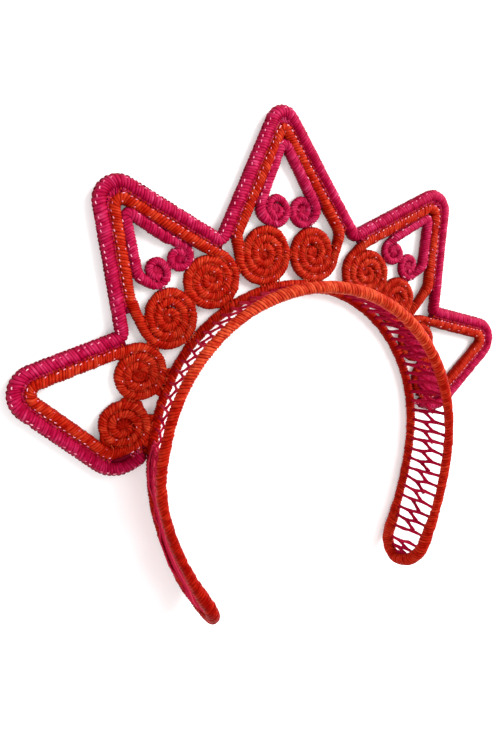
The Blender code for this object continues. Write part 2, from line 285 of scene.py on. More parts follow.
# The knots of straw in the eyes of large and small spirals, and one by the outer cord's left end.
HEM_KNOT = Corner(-0.0723, -0.0629, 0.0)
HEM_KNOT_REACH = 0.0034
KNOT_REACHES = (0.0046, 0.0030)
KNOT_RADIUS = 0.0011
KNOT_HEIGHT = 0.0029
KNOT_SHOULDER = 0.55 * KNOT_HEIGHT
KNOT_UNEVENNESS = 0.0002
KNOT_STRANDS = 6
KNOT_PLACES = (-1.0, -0.8, 0.0, 0.8, 1.0)
LOOSE_TONES = (0.1, 0.6)

# The strands over the hidden spirals: how many for each, where their middles lie and how long they are in
# spiral sizes, their direction and their height.
COVER_STRANDS = 140
COVER_SPAN_X = (-0.65, 0.25)
COVER_SPAN_Y = (-0.9, 0.3)
COVER_LENGTHS = (0.3, 0.5)
COVER_REACH = 0.88
COVER_ANGLE = radians(-20)
COVER_ANGLE_SPREAD = 0.5
COVER_RADIUS = 0.00045
COVER_RISE = 0.0005
COVER_RISE_SHARES = (0.6, 1.0)
COVER_LOW = 0.0025
COVER_PLACES = (-1.0, -0.7, 0.0, 0.7, 1.0)
COVER_SHADES = (0.5, 0.9)

# The net's threads, which are thicker and darker on the right: where they bend between the far edge and the
# near one, and how far along the band.
NET_THREAD_RADIUS = 0.00086
THIN_THREAD_RADIUS = 0.00058
THIN_THREAD_TONE = 0.45
THIN_THREAD_SHADE = 0.1
THICKER_THREADS_X = (0.0, 0.04)
THREAD_SIDES = 6
THREAD_KNOT = 1.25
THREAD_WAIST = 0.9
THREAD_TONES = (0.05, 0.5)
THREAD_SHADES = (0.6, 0.9)
NET_ROW_PITCH = 0.0050
NET_WOBBLE = 0.07
NET_BENDS = (0.38, 0.62)
NET_SHIFTS = (0.0, 0.05, -0.15, 0.0)
NET_END_DEPTHS = (0.0035, 0.0068, 0.0092)
NET_END_SHIFTS = (0.0, 0.0004, -0.0006, 0.0)
NET_END_INSET = 0.6
NET_INTO_RIM = 0.4

# Long strands down the left leg inside its net: how far across the band each one is.
LONG_SHARES = (0.085, 0.10, 0.12, 0.14, 0.16, 0.18, 0.21, 0.24, 0.28, 0.32, 0.37, 0.42, 0.48, 0.55, 0.62,
               0.70, 0.78, 0.86)
LONG_RADIUS = 0.00050
LONG_PITCH = 0.0060
LONG_STEPS = 12
LONG_SHIFT = 0.2
LONG_WANDER = 0.16
LONG_SWAY = 0.0006
LONG_CLEAR = 0.0002
LONG_BULGE = 0.0013
LONG_BULGE_END = 0.045
LONG_END_DEPTHS = (0.0085, 0.0045)
LONG_END_OUT = 0.5
LONG_TONES = (0.3, 1.0)
LONG_SHADES = (0.8, 1.0)

# The camera, in the sheet frame.
CAMERA_PLACE = (-0.1391, 0.0126, 0.2408)
CAMERA_TURNS = (("Y", -26.07), ("X", -10.71), ("Z", -1.61))
CAMERA_LENS = 29.76
CAMERA_CLIP = 0.01

# The white floor glows a little, and lies just under the cords.
FLOOR_HALF = 3.0
FLOOR_DROP = 0.0004
FLOOR_LOOK = {
    "Base Color": (0.90, 0.89, 0.89, 1.0),
    "Roughness": 0.9,
    "Specular IOR Level": 0.1,
    "Emission Color": (1.0, 0.995, 0.995, 1.0),
    "Emission Strength": 0.17,
}

# The lights: name, place, size and power. They are turned towards the origin.
LIGHTS = (("key", (0.74, 0.48, 0.62), 0.90, 25.0), ("fill", (-0.9, -0.5, 0.7), 1.0, 7.0))
SKY_STRENGTH = 0.74


def unit(vector):
    return vector / norm(vector)


def unit_rows(vectors):
    return vectors / norm(vectors, axis=1)[:, None]


def places_along(points):
    """How far along a line each of its points is."""
    return np.concatenate(((0.0,), np.cumsum(norm(np.diff(points, axis=0), axis=1))))


def right_of(direction):
    return np.array((direction[1], -direction[0]))


def on_plan(item):
    return np.array((item.x, item.y))


def on_ground(item, offset):
    """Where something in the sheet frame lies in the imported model."""
    return np.array((item.x, item.y, 0.0)) + offset


def on_circle(centre, radius, angle):
    return centre + radius * np.array((cos(angle), sin(angle)))


def lines_meet(point_a, along_a, point_b, along_b):
    """The crossing of two lines, each through a point and along a direction."""
    return point_a + along_a * np.cross(point_b - point_a, along_b) / np.cross(along_a, along_b)


def smooth_step(low, high, values):
    share = np.clip((values - low) / (high - low), 0.0, 1.0)
    return share * share * (3.0 - 2.0 * share)


def rounded(corners):
    """Points along straight sides whose corners, given with their bend radius, are arcs."""
    points = []
    for index, (corner, bend) in enumerate(corners):
        if index in (0, len(corners) - 1) or bend == 0.0:
            points.append(corner)
            continue
        back = unit(corners[index - 1][0] - corner)
        ahead = unit(corners[index + 1][0] - corner)
        half_angle = acos(float(back @ ahead)) / 2
        centre = corner + unit(back + ahead) * bend / sin(half_angle)
        first = corner + back * bend / tan(half_angle) - centre
        last = corner + ahead * bend / tan(half_angle) - centre
        sweep = atan2(float(np.cross(first, last)), float(first @ last))
        start = atan2(first[1], first[0])
        count = max(1, ceil(abs(sweep) / CORNER_STEP))
        points += [on_circle(centre, bend, start + sweep * k / count) for k in range(count + 1)]
    return points


def zigzag_plan():
    return rounded([(on_plan(corner), corner.bend) for corner in ZIGZAG])


def ring_reach(reach, turns, coil):
    """How far the cord is from its spiral's centre after some turns."""
    rings = floor(turns)
    step = min(1.0, max(0.0, turns - rings - coil.steady) / STEP_TURN)
    return reach - coil.pitch * (rings + step)


def spiral_cord(spiral, knee, turn, coil):
    """A spiral's points and radii, from its outer ring to its eye; turn is 1 for counter-clockwise, or -1."""
    centre = on_plan(spiral)
    away = knee - centre
    entry = acos(spiral.reach / float(norm(away)))
    start = atan2(away[1], away[0]) + turn * entry
    wound = (spiral.reach - coil.eye) / coil.pitch
    last_reach = ring_reach(spiral.reach, wound, coil)
    points = []
    radii = []
    reach = spiral.reach
    while reach > coil.end_reach:
        turns = len(points) / SPIRAL_STEPS
        reach = ring_reach(spiral.reach, turns, coil)
        share = min(1.0, max(0.0, turns - wound) / coil.eye_turn)
        if share > 0.0:
            reach = min(reach, last_reach + (coil.end_reach - last_reach) * share)
        reach = max(reach, coil.end_reach)
        points.append(on_circle(centre, reach, start + turn * tau * turns))
        radii.append(coil.cord_radius + (COIL_END_RADIUS - coil.cord_radius) * share)
    return points, radii


def scroll_route(spike, scroll, inset, coil, side_radius):
    """The points and radii, from eye to eye, of a cord that lies inside the outer cord by some inset."""
    base_left, tip, base_right = (on_plan(corner) for corner in ZIGZAG[2 * spike + 1:2 * spike + 4])
    up = unit(tip - base_left)
    down = unit(base_right - tip)
    inner_left = base_left + right_of(up) * inset
    inner_right = base_right + right_of(down) * inset
    inner_tip = lines_meet(inner_left, up, inner_right, down) + unit(up - down) * scroll.lift
    left_knee = inner_left + up * scroll.left.knee
    right_knee = inner_right - down * scroll.right.knee
    left_points, left_radii = spiral_cord(scroll.left, left_knee, 1, coil)
    right_points, right_radii = spiral_cord(scroll.right, right_knee, -1, coil)
    corners = (left_points[0], left_knee, inner_tip, right_knee, right_points[0])
    sides = rounded(list(zip(corners, (0.0, KNEE_BEND, scroll.bend, KNEE_BEND, 0.0))))
    side_radii = []
    for point in sides:
        to_spiral = min(norm(point - sides[0]), norm(point - sides[-1]))
        share = min(1.0, to_spiral / THINNING_LENGTH)
        side_radii.append(coil.cord_radius + (side_radius - coil.cord_radius) * share)
    points = left_points[:0:-1] + sides + right_points[1:]
    return points, left_radii[:0:-1] + side_radii + right_radii[1:]


def bow_at(y, leg):
    """How far a leg bows out at some height of the plan."""
    share = (BOW_START - y) / (BOW_START + ARCH_RISE + LEG_LENGTH)
    return leg.bow * sin(pi * min(1.0, max(0.0, share)))


def edge_half(half_width, leg):
    """Half of one edge of the band, as on the right, from its top to the start of the leg's round end."""
    points = []
    for k in range(ARCH_SEGMENTS // 2 + 1):
        angle = pi / 2 - pi * k / ARCH_SEGMENTS
        points.append((half_width * cos(angle), ARCH_RISE * (sin(angle) - 1)))
    for k in range(1, LEG_SEGMENTS + 1):
        share = k / LEG_SEGMENTS
        points.append((half_width - leg.lean * share ** leg.curve, -ARCH_RISE - LEG_LENGTH * share))
    return np.array([(x + bow_at(y, leg), y) for x, y in points])


def edge_line(edge, height):
    """One whole edge of the band in space, from the left leg to the right one."""
    right = edge_half(edge.half_width, edge.right)
    left = edge_half(edge.half_width, edge.left)[:0:-1] * (-1, 1)
    plan = np.vstack((left, right))
    return np.column_stack((plan, np.full(len(plan), height)))


def leg_end(first, last, outward):
    """Where a leg ends, the rim goes round from one edge to the other; outward is the leg's direction."""
    centre = (first + last) / 2
    points = []
    for k in range(1, LEG_END_SEGMENTS):
        angle = pi * k / LEG_END_SEGMENTS
        across = (first - centre) * cos(angle)
        points.append(centre + across + outward * LEG_END_RADIUS * sin(angle))
    return points


def leg_direction(far, near, end):
    """The way a leg points where its round end starts; end is 0 for the left leg and -1 for the right one."""
    before = 1 if end == 0 else -2
    return unit(far[end] - far[before] + near[end] - near[before])


def sheet_offset():
    """Where the sheet frame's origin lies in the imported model, from the outer cord's box."""
    low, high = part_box("zigzag_outer_cord")
    plan = np.array(zigzag_plan())
    middle = (plan.min(axis=0) + plan.max(axis=0)) / 2
    return np.array(((low.x + high.x) / 2 - middle[0], (low.y + high.y) / 2 - middle[1], 0.0))


class Route:
    """A cord's middle line with its radius, its tone and a frame of two directions across it."""

    def __init__(self, points, radii, sideways, closed=False, tones=0.5):
        radii, tones = (np.broadcast_to(values, len(points)) for values in (radii, tones))
        columns = [np.array(values, float) for values in (points, radii, sideways, tones)]
        if closed:
            columns = [np.concatenate((values, values[:1])) for values in columns]
        self.closed = closed
        self.points, self.radii, self.sideways, self.tones = columns
        self.places = places_along(self.points)
        self.length = self.places[-1]
        self.tangents = np.gradient(self.points, self.places, axis=0)
        if closed:
            self.tangents[[0, -1]] = unit(self.points[1] - self.points[-2])
        self.upward = unit_rows(np.cross(self.sideways, self.tangents))

    def read(self, values, at):
        at = np.mod(at, self.length) if self.closed else np.clip(at, 0.0, self.length)
        if values.ndim == 1:
            return np.interp(at, self.places, values)
        return np.stack([np.interp(at, self.places, values[:, axis]) for axis in range(3)], axis=-1)

    def surface(self, at, angle, lift=0.0):
        """Points on the cord's surface: a place along it and an angle round it, from sideways to upward."""
        full = self.read(self.radii, at) * (1.0 + FULLNESS * np.sin(2.0 * angle) ** 2)
        radius = (full + lift) * self.rounding(at)
        across = (radius * np.cos(angle))[..., None] * self.read(self.sideways, at)
        above = (radius * np.sin(angle))[..., None] * self.read(self.upward, at)
        return self.read(self.points, at) + across + above

    def rounding(self, at):
        """The share of its radius that the cord has, which drops to nothing at its two round ends."""
        if self.closed:
            return np.ones_like(at)
        to_end = np.clip(np.minimum(at, self.length - at) / self.read(self.radii, at), 0.0, 1.0)
        return np.sqrt(1.0 - (1.0 - to_end) ** 2)


def finely_divided(plan, radii):
    """The same line with a point at least every half millimetre."""
    plan = np.array(plan)
    places = places_along(plan)
    extra = np.linspace(0.0, places[-1], ceil(places[-1] / ROUTE_STEP))
    wanted = np.unique(np.concatenate((places, extra)))
    wanted = wanted[np.concatenate(((True,), np.diff(wanted) > ROUTE_STEP / 10))]
    columns = [np.interp(wanted, places, values) for values in (plan[:, 0], plan[:, 1], np.array(radii))]
    return np.column_stack(columns[:2]), columns[2]


def left_of(line):
    """The level direction to the left of a line at each of its points, outward from the band's edges."""
    tangents = np.gradient(line, axis=0)
    return unit_rows(np.column_stack((-tangents[:, 1], tangents[:, 0], np.zeros(len(line)))))


def flat_route(plan, radii, swell, offset):
    """The route of a cord that lies on the ground."""
    plan, radii = finely_divided(plan, radii)
    radii = radii + swell
    points = np.column_stack((plan, radii)) + offset
    return Route(points, radii, -left_of(plan))


def zigzag_route(offset):
    plan = zigzag_plan()
    return flat_route(plan, [OUTER_RADIUS] * len(plan), OUTER_WINDING.swell, offset)


def scroll_routes(offset):
    """Every cord inside the spikes, by the name of its node."""
    inset = OUTER_RADIUS + SEAM + SCROLL_RADIUS
    inner_inset = inset + SCROLL_RADIUS + SEAM + INNER_RADIUS + INNER_SHIFT
    kinds = (
        ("scroll_cord_", inset, LARGE_COIL, SCROLL_RADIUS + SIDE_SWELL, SCROLL_WINDING),
        ("inner_scroll_cord_", inner_inset, SMALL_COIL, INNER_RADIUS, INNER_WINDING),
    )
    found = {}
    for spike, scrolls in enumerate(SPIKES):
        for scroll, (name, inside, coil, side_radius, winding) in zip(scrolls, kinds):
            plan, radii = scroll_route(spike, scroll, inside, coil, side_radius)
            found[name + str(spike + 1)] = flat_route(plan, radii, winding.swell, offset)
    return found


def band_edges(offset):
    """The far and the near edge of the band."""
    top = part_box("band_rim")[1].z
    return edge_line(FAR_EDGE, RIM_RADIUS) + offset, edge_line(NEAR_EDGE, top - RIM_RADIUS) + offset


def rim_look(x, y, is_near, top):
    """The rim's tones, with painted light on top of the near edge, and its radii, thickest at the legs' ends.
    """
    is_far = 1 - is_near
    on_top = smooth_step(top - RIM_PAINTED_LIGHT_REACH, top - RIM_PAINTED_LIGHT_REACH / 3, y)
    on_arch = smooth_step(top - ARCH_RISE, top - ARCH_RISE / 2, y)
    far_right = smooth_step(ARCH_SIDE / 3, ARCH_SIDE, x) * is_far
    low_left = smooth_step(0.0, ARCH_SIDE / 2, top - ARCH_RISE - y) * (x < 0)
    # Painted light on top of the near edge, and painted shade on the far edge's right side along the arch.
    tones = RIM_LEG_TONE + (RIM_PAINTED_LIGHT_TONE - RIM_LEG_TONE) * on_top * is_near
    tones -= RIM_RIGHT_PAINTED_SHADE * far_right * smooth_step(*ARCH_START, on_arch)
    tones -= RIM_LEFT_DROP * smooth_step(-ARCH_SIDE / 3, -ARCH_SIDE * 1.4, x) * is_far
    tones -= LOW_LEFT_DROP * low_left * is_near
    at_end = smooth_step(-LEG_END_SWELL_LENGTH, 0.0, top - ARCH_RISE - LEG_LENGTH - y)
    on_arch *= 1 - np.maximum(far_right, smooth_step(*FAR_SWELL_X, np.abs(x)) * is_far)
    on_arch *= LEFT_SWELL_SHARE + (1 - LEFT_SWELL_SHARE) * smooth_step(-ARCH_SIDE, -ARCH_SIDE / 4, x)
    return tones, RIM_RADIUS + RIM_WINDING.swell + LEG_END_SWELL * at_end + ARCH_SWELL * on_arch


def rim_route(offset):
    """The rim's closed route: the far edge, the right leg's end, the near edge and the left leg's end."""
    far, near = band_edges(offset)
    right_end = leg_end(far[-1], near[-1], leg_direction(far, near, -1))
    left_end = leg_end(near[0], far[0], leg_direction(far, near, 0))
    far_out = left_of(far)
    near_out = left_of(near)
    points = np.array([*far, *right_end, *near[::-1], *left_end])
    sideways = [*far_out, *[far_out[-1]] * len(right_end), *near_out[::-1], *[far_out[0]] * len(left_end)]
    is_near = smooth_step(*NEAR_EDGE_Z, points[:, 2])
    tones, radii = rim_look(points[:, 0], points[:, 1], is_near, offset[1])
    points[:, 2] += (radii - RIM_RADIUS) * (1 - 2 * is_near)
    return Route(points, radii, sideways, closed=True, tones=tones)


def patch_noise(along, around, rng):
    """Random values from -1 to 1 that vary in patches over a cord's surface."""
    rows = int(np.max(along) / PATCH_LENGTH) + 3
    knots = rng.uniform(-1.0, 1.0, (rows, PATCH_SECTORS))
    u = np.maximum(along / PATCH_LENGTH, 0.0)
    v = np.mod(around / tau, 1.0) * PATCH_SECTORS
    i = u.astype(int)
    j = v.astype(int) % PATCH_SECTORS
    after = (j + 1) % PATCH_SECTORS
    right = u - i
    up = v - np.floor(v)
    low = knots[i, j] * (1 - up) + knots[i, after] * up
    high = knots[i + 1, j] * (1 - up) + knots[i + 1, after] * up
    return low * (1 - right) + high * right


def add_object(name, data):
    thing = bpy.data.objects.new(name, data)
    bpy.context.scene.collection.objects.link(thing)
    return thing


def mesh_object(name, faces, points, tone, shade, place):
    """A smooth mesh, with the tone, shade and place of its points for the material to read."""
    mesh = bpy.data.meshes.new(name)
    mesh.from_pydata([tuple(p) for p in points], [], faces)
    mesh.shade_smooth()
    for key, numbers in (("tone", tone), ("shade", shade), ("place", place)):
        numbers = np.asarray(numbers, np.float32)
        kind, field = ("FLOAT", "value") if numbers.ndim == 1 else ("FLOAT_VECTOR", "vector")
        mesh.attributes.new(key, kind, "POINT").data.foreach_set(field, numbers.ravel())
    return add_object(name, mesh)


def ring_faces(rings, sides, closed):
    """Quads between neighbouring rings of points, with fans over the two ends where the tube isn't closed."""
    grid = np.arange(rings * sides).reshape(rings, sides)
    following = np.roll(grid, -1, axis=0) if closed else grid[1:]
    first = grid if closed else grid[:-1]
    quads = np.stack((first, following, np.roll(following, -1, axis=1), np.roll(first, -1, axis=1)), axis=-1)
    faces = quads.reshape(-1, 4).tolist()
    if not closed:
        tip = rings * sides
        for j in range(sides):
            after = (j + 1) % sides
            faces.append((tip, int(grid[0, j]), int(grid[0, after])))
            faces.append((tip + 1, int(grid[-1, after]), int(grid[-1, j])))
    return faces


class Turns:
    """The turns of straw on a cord: where each starts and how wide it is, in lumps of one or two turns."""

    def __init__(self, length, winding, rng):
        self.count = round(length / winding.pitch)
        widths = rng.uniform(1.0 - WIDTH_SPREAD, 1.0 + WIDTH_SPREAD, self.count)
        self.widths = widths * length / widths.sum()
        self.starts = np.cumsum(self.widths) - self.widths
        sizes = rng.integers(*LUMP_SIZES, self.count, endpoint=True)
        last = np.cumsum(sizes)
        lump = np.searchsorted(last, np.arange(self.count), side="right")
        first = last[lump] - sizes[lump]
        self.opens_lump = np.arange(self.count) == first
        inside = (np.arange(self.count) - first + 0.5) / sizes[lump]
        lump_height = rng.normal(0.0, LUMP_SPREAD, self.count)[lump]
        self.height = winding.lump * (np.sin(pi * inside) - LUMP_DROP + lump_height)
        self.height += rng.normal(0.0, HEIGHT_SPREAD, self.count)
        self.tone = rng.uniform(-1.0, 1.0, self.count) * 0.5 + rng.uniform(-1.0, 1.0, self.count)[lump] * 0.5


def wound_cord(name, route, winding, seed, inside_painted_shade=0.0):
    """A cord covered with turns of straw; its inner side may be darker with painted shade."""
    rng = np.random.default_rng(seed)
    turns = Turns(route.length, winding, rng)
    index = np.repeat(np.arange(turns.count), len(TURN_PHASES))
    phases = np.tile(TURN_PHASES, turns.count)
    heights = np.tile(TURN_HEIGHTS, turns.count)
    if not route.closed:
        index = np.append(index, turns.count - 1)
        phases = np.append(phases, 1.0)
        heights = np.append(heights, TURN_HEIGHTS[0])
    in_groove = phases % 1.0 == 0.0
    in_deep_groove = in_groove & turns.opens_lump[index]
    lift = turns.height[index] + heights * winding.groove - in_deep_groove * winding.deep_groove
    around = -pi / 2 + tau * np.arange(winding.sides) / winding.sides
    at = (turns.starts[index] + phases * turns.widths[index])[:, None]
    at = at + winding.slant * route.rounding(at) * np.cos(around)[None, :]
    angle = np.broadcast_to(around, at.shape)
    bumps = patch_noise(at, angle, rng)
    points = route.surface(at, angle, lift[:, None] + BUMP_HEIGHT * bumps).reshape(-1, 3)
    # Painted shade: an open cord is painted darker on its underside, and every cord darker in its grooves.
    shade = np.ones_like(angle)
    if not route.closed:
        topside = smooth_step(*TOPSIDE, np.sin(angle))
        shade = UNDERSIDE_PAINTED_SHADE + (1.0 - UNDERSIDE_PAINTED_SHADE) * topside
    # Painted shade in the grooves between turns, deepest between lumps.
    groove_painted_shade = np.where(in_deep_groove, DEEP_GROOVE_PAINTED_SHADE, np.where(in_groove, GROOVE_PAINTED_SHADE, 1.0))
    shade = shade * groove_painted_shade[:, None]
    tone = route.read(route.tones, at) + TURN_TONE * turns.tone[index][:, None]
    # Painted shade darkens the tone with the shade, on low bumps and on the inner side along the seam; the
    # bumps' shade is painted shade too, lighter on raised ones.
    tone += PATCH_TONE_AND_PAINTED_SHADE * bumps - PAINTED_SHADE_TONE * (1.0 - shade)
    tone -= inside_painted_shade * smooth_step(*INSIDE, np.cos(angle))
    shade = shade * (1.0 + BUMP_PAINTED_SHADE * bumps)
    own_place = np.full(at.shape, seed * CORD_PLACE_STEP)
    place = np.stack((at, angle * OUTER_RADIUS, own_place), axis=-1).reshape(-1, 3)
    tone = np.clip(tone, 0.0, 1.0).ravel()
    shade = shade.ravel()
    if not route.closed:
        # The round ends' centre points take the underside's painted shade.
        points = np.vstack((points, route.points[0], route.points[-1]))
        tone = np.append(tone, [CORD_END_TONE] * 2)
        shade = np.append(shade, [UNDERSIDE_PAINTED_SHADE] * 2)
        place = np.vstack((place, np.zeros((2, 3))))
    faces = ring_faces(len(index), winding.sides, route.closed)
    return mesh_object(name, faces, points, tone, shade, place)


def strand_rings(points, radius, sides):
    """A bare strand of straw through a few points: its rings of points."""
    points = np.array(points, float)
    tangents = unit_rows(np.gradient(points, axis=0))
    helper = np.array((0.0, 0.0, 1.0)) if abs(tangents[0][2]) < STEEP else np.array((1.0, 0.0, 0.0))
    across = unit_rows(np.cross(tangents, helper))
    above = np.cross(across, tangents)
    angle = tau * np.arange(sides) / sides
    radius = np.broadcast_to(radius, len(points))
    ring = across[:, None] * np.cos(angle)[None, :, None] + above[:, None] * np.sin(angle)[None, :, None]
    return points[:, None] + ring * radius[:, None, None]


class StrandMesh:
    """Many bare strands collected into one mesh."""

    def __init__(self, sides):
        self.sides = sides
        self.parts = []
        self.faces = []
        self.count = 0

    def add(self, points, radius, tone, shade=1.0):
        rings = strand_rings(points, radius, self.sides)
        flat = np.vstack((rings.reshape(-1, 3), points[0], points[-1]))
        place = np.zeros((len(flat), 3))
        place[:, 0] = self.count * STRAND_PLACE_STEP
        place[:-2, 1] = np.repeat(np.arange(len(rings)) * RING_PLACE_STEP, self.sides)
        self.parts.append((flat, np.full(len(flat), tone), np.full(len(flat), shade), place))
        for face in ring_faces(len(rings), self.sides, False):
            self.faces.append([self.count + i for i in face])
        self.count += len(flat)

    def make(self, name):
        return mesh_object(name, self.faces, *(np.concatenate(column) for column in zip(*self.parts)))


def gap_to(one, at, other):
    """How wide the gap is between a place on one cord and another cord."""
    distance = norm(other.points - one.read(one.points, at), axis=1) - other.radii
    return float(distance.min()) - float(one.read(one.radii, at))


def nearest(one, at, other):
    """The point of another cord, or of a later turn of this one, that is nearest to a place on this one.

    It returns the place, the point, the two radii, the distance and the gap.
    """
    here = one.read(one.points, at)
    distance = norm(other.points - here, axis=1)
    if other is one:
        distance[other.places < at + OWN_TURN] = inf
    index = int(np.argmin(distance))
    radius = one.read(one.radii, at)
    gap = distance[index] - radius - other.radii[index]
    return here, other.points[index], radius, other.radii[index], distance[index], gap


def stitch_row(strands, route, row, rng, beside=None, stop_x=inf):
    """A row of stitches along a cord; a seam's runs only where the other cord lies beside this one."""
    for k in range(int(route.length / row.pitch)):
        middle = (k + 0.5 + rng.uniform(-STITCH_SHIFT, STITCH_SHIFT)) * row.pitch
        chosen = rng.random() < row.share
        length = row.length * rng.uniform(*STITCH_LENGTHS)
        lean = rng.uniform(-STITCH_LEAN, STITCH_LEAN)
        tone = rng.uniform(*STITCH_TONES)
        if not chosen or route.read(route.points, middle)[0] > stop_x:
            continue
        if beside is not None and gap_to(route, middle, beside) > SEAM_REACH:
            continue
        at = middle + length * STITCH_PLACES
        angle = row.angle + lean + STITCH_TURNS
        strands.add(route.surface(at, angle, row.radius * STITCH_LIFTS), row.radius, tone)


def ties(strands, one, other, rng, tips=(), shade=TIE_PAINTED_SHADE):
    """Stitches over the seam where two cords, or two turns of one, lie side by side or part at a tip."""
    for k in range(int(one.length / TIE_PITCH)):
        at = (k + 0.5 + rng.uniform(-TIE_SHIFT, TIE_SHIFT)) * TIE_PITCH
        slant = TIE_SLANT * rng.uniform(-1.0, 1.0)
        tone = rng.uniform(*TIE_TONES)
        here, there, own_radius, other_radius, _, gap = nearest(one, at, other)
        at_tip = any(norm(here - tip) < TIP_NEAR for tip in tips)
        if gap > (TIP_REACH if at_tip else TIE_REACH):
            continue
        toward = unit((there - here) * (1.0, 1.0, 0.0))
        up = np.array((0.0, 0.0, 1.0))
        out = toward * cos(TIE_ANGLE)
        rise = up * sin(TIE_ANGLE)
        along = one.read(one.tangents, at) * slant
        line = [
            here - along + (rise + out) * (own_radius - TIE_RADIUS),
            here - along + (rise + out) * (own_radius + TIE_RADIUS * TIE_LIFT) + toward * TIE_RADIUS,
            (here + there) / 2 + up * (TIE_DEPTH * own_radius),
            there + along + (rise - out) * (other_radius + TIE_RADIUS * TIE_LIFT) - toward * TIE_RADIUS,
            there + along + (rise - out) * (other_radius - TIE_RADIUS),
        ]
        # The tie lies down in the seam and gets painted shade.
        strands.add(line, TIE_RADIUS, tone, shade)


def fill_seam(strands, one, other, reach, rng):
    """Strands that fill the seam between two cords, or two turns of one, where it is wider than a stitch."""
    line = []
    radii = []
    for at in np.arange(0.0, one.length, FILL_PITCH):
        here, there, own_radius, _, distance, gap = nearest(one, at, other)
        if FILL_LEAST < gap < reach:
            toward = (there - here) / distance
            line.append(here + toward * (own_radius + gap / 2))
            radii.append(gap / 2 + FILL_OVERLAP)
        elif line:
            if len(line) > 2:
                # Filling strands get painted shade.
                strands.add(line, np.array(radii), rng.uniform(*FILL_TONES), FILL_PAINTED_SHADE)
            line = []
            radii = []


def eye_knots(strands, spots, reach, offset, rng):
    """A few strands that cross over the eye of each spiral, or over a spot."""
    for spot in spots:
        centre = on_ground(spot, offset)
        turn = rng.uniform(0.0, pi)
        for k in range(KNOT_STRANDS):
            angle = turn + pi * k / KNOT_STRANDS
            along = np.array((cos(angle), sin(angle), 0.0)) * reach
            top = KNOT_HEIGHT - KNOT_RADIUS + rng.uniform(-KNOT_UNEVENNESS, KNOT_UNEVENNESS)
            heights = (KNOT_RADIUS, KNOT_SHOULDER, top, KNOT_SHOULDER, KNOT_RADIUS)
            line = [centre + along * place + (0.0, 0.0, z) for place, z in zip(KNOT_PLACES, heights)]
            # The knots lie low in the eye and get painted shade.
            strands.add(line, KNOT_RADIUS, rng.uniform(*LOOSE_TONES), DARK_PAINTED_SHADE)


def cover_spirals(strands, spirals, offset, rng):
    """Loose strands of the net's straw over the lower side of the spirals that the band's leg hides."""
    for spiral in spirals:
        centre = on_ground(spiral, offset)
        size = spiral.reach + SCROLL_RADIUS
        for _ in range(COVER_STRANDS):
            spot = centre + (rng.uniform(*COVER_SPAN_X) * size, rng.uniform(*COVER_SPAN_Y) * size, 0.0)
            turn = rng.normal(COVER_ANGLE, COVER_ANGLE_SPREAD)
            along = np.array((cos(turn), sin(turn), 0.0)) * size * rng.uniform(*COVER_LENGTHS)
            heights = rng.uniform(*COVER_RISE_SHARES, 3) * COVER_RISE + 2 * SCROLL_RADIUS
            if max(norm(spot + along - centre), norm(spot - along - centre)) > COVER_REACH * size:
                continue
            line = np.array([spot + along * place for place in COVER_PLACES])
            line[:, 2] = (COVER_LOW, *heights, COVER_LOW)
            strands.add(line, COVER_RADIUS, rng.uniform(*LOOSE_TONES), rng.uniform(*COVER_SHADES))


